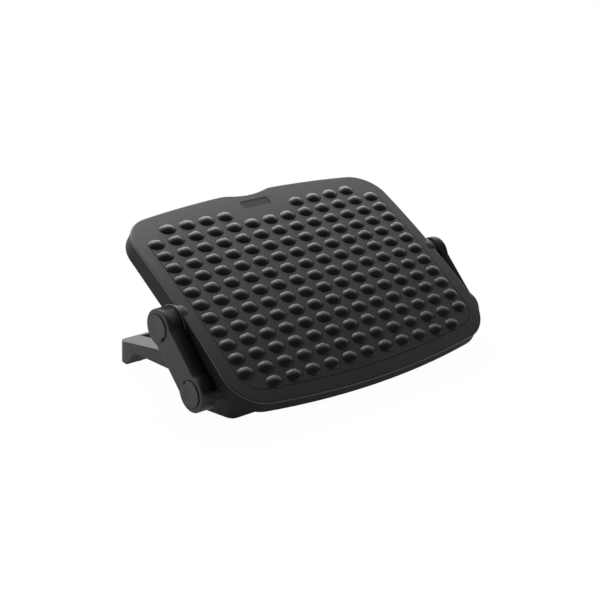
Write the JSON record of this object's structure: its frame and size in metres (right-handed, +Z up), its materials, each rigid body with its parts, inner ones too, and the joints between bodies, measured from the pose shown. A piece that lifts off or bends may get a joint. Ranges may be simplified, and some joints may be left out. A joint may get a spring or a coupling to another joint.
{
  "type": "tilting under desk footrest",
  "caption": "Footrest with a bumped tread that tilts between two side arms, which swing on an open base frame to set its height.",
  "frame": {"origin": "middle of the whole footrest's footprint, on the floor", "axes": "+X runs across the footrest, +Y to its rear, where the tread is high, and +Z up"},
  "size_m": [0.5032, 0.3031, 0.2017],
  "materials": {
    "tread_plastic": "satin",
    "base_plastic": "satin",
    "arm_plastic": "satin",
    "cap_plastic": "satin",
    "pad_rubber": "matte",
    "zinc_steel": "zinc plated",
    "spring_steel": "oiled",
    "bearing_plastic": "natural"
  },
  "bodies": {
    "base": {"base_frame": "base_plastic", "foot_pads": "pad_rubber", "height_bolts": "zinc_steel", "height_nuts": "zinc_steel", "height_washers": "zinc_steel", "height_spring_left": "spring_steel", "height_spring_right": "spring_steel", "click_ring_left": "bearing_plastic", "click_ring_right": "bearing_plastic"},
    "arm_left_body": {"arm_left": "arm_plastic", "height_cap_left": "cap_plastic", "tilt_cap_left": "cap_plastic", "tilt_bush_left": "bearing_plastic"},
    "arm_right_body": {"arm_right": "arm_plastic", "height_cap_right": "cap_plastic", "tilt_cap_right": "cap_plastic", "tilt_bush_right": "bearing_plastic"},
    "tread_body": {"tread": "tread_plastic", "tilt_bolts": "zinc_steel", "tilt_nuts": "zinc_steel", "tilt_washers": "zinc_steel", "tilt_spring_left": "spring_steel", "tilt_spring_right": "spring_steel", "friction_washer_left": "bearing_plastic", "friction_washer_right": "bearing_plastic"}
  },
  "joints": [
    {"name": "height_left", "type": "hinge", "parent": "base", "child": "arm_left_body", "pos_m": [-0.2395, -0.06645, 0.04], "axis": [1, 0, 0], "range_deg": [-17, 14]},
    {"name": "height_right", "type": "hinge", "parent": "base", "child": "arm_right_body", "pos_m": [0.2395, -0.06645, 0.04], "axis": [1, 0, 0], "range_deg": [-17, 14]},
    {"name": "tilt", "type": "hinge", "parent": "arm_left_body", "child": "tread_body", "pos_m": [-0.2395, 0.00337, 0.10353], "axis": [-1, 0, 0], "range_deg": [0, 30]}
  ],
  "couplings": [
    {"joint": "height_right", "follows": "height_left", "ratio": 1}
  ]
}
